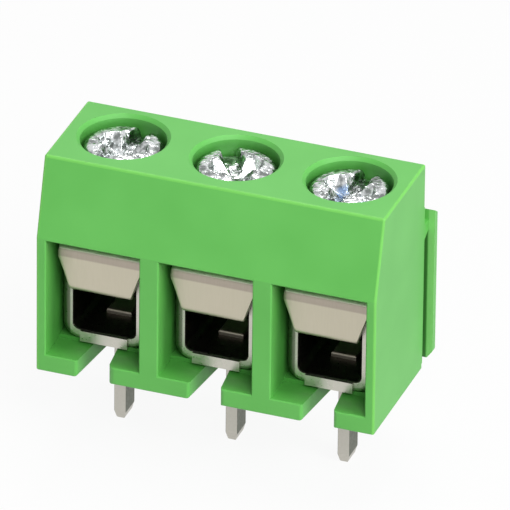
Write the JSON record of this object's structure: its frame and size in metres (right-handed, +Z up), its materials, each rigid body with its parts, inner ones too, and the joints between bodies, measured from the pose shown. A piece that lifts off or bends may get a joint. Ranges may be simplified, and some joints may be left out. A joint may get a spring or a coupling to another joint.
{
  "type": "screw terminal block",
  "caption": "Low screw terminal block for a circuit board, with wire windows in front, clamp screws in wells above, solder pins below and a side rail.",
  "frame": {"origin": "middle solder pin where it leaves the seating face", "axes": "+Z up from the board, +X along the row towards the rail, wires enter from -Y"},
  "size_m": [0.0153, 0.007, 0.0135],
  "materials": {
    "housing_plastic": "fine-grained moulded polyamide",
    "cage_plating": "nickel-plated, folded from strip",
    "pin_tin": "tin-plated, blanked",
    "guard_spring": "rolled spring strip",
    "screw_zinc": "bright zinc plate"
  },
  "bodies": {
    "block": {"housing": "housing_plastic", "cage_1": "cage_plating", "cage_2": "cage_plating", "cage_3": "cage_plating", "solder_pin_1": "pin_tin", "solder_pin_2": "pin_tin", "solder_pin_3": "pin_tin"},
    "leaf_1": {"wire_guard_1": "guard_spring"},
    "clamp_screw_1": {"screw_1": "screw_zinc"},
    "leaf_2": {"wire_guard_2": "guard_spring"},
    "clamp_screw_2": {"screw_2": "screw_zinc"},
    "leaf_3": {"wire_guard_3": "guard_spring"},
    "clamp_screw_3": {"screw_3": "screw_zinc"}
  },
  "joints": [
    {"name": "screw_1_feed", "type": "slide", "parent": "block", "child": "leaf_1", "axis": [0, 0, -1], "range_m": [0, 0.0018], "deforming": ["wire_guard_1"]},
    {"name": "screw_1_turn", "type": "hinge", "parent": "leaf_1", "child": "clamp_screw_1", "pos_m": [-0.005, -0.00025, 0.0093], "axis": [0, 0, -1], "range_deg": [0, 1440]},
    {"name": "screw_2_feed", "type": "slide", "parent": "block", "child": "leaf_2", "axis": [0, 0, -1], "range_m": [0, 0.0018], "deforming": ["wire_guard_2"]},
    {"name": "screw_2_turn", "type": "hinge", "parent": "leaf_2", "child": "clamp_screw_2", "pos_m": [0, -0.00025, 0.0093], "axis": [0, 0, -1], "range_deg": [0, 1440]},
    {"name": "screw_3_feed", "type": "slide", "parent": "block", "child": "leaf_3", "axis": [0, 0, -1], "range_m": [0, 0.0018], "deforming": ["wire_guard_3"]},
    {"name": "screw_3_turn", "type": "hinge", "parent": "leaf_3", "child": "clamp_screw_3", "pos_m": [0.005, -0.00025, 0.0093], "axis": [0, 0, -1], "range_deg": [0, 1440]}
  ],
  "couplings": [
    {"joint": "screw_1_turn", "follows": "screw_1_feed", "rad_per_m": 13963},
    {"joint": "screw_2_turn", "follows": "screw_2_feed", "rad_per_m": 13963},
    {"joint": "screw_3_turn", "follows": "screw_3_feed", "rad_per_m": 13963}
  ]
}
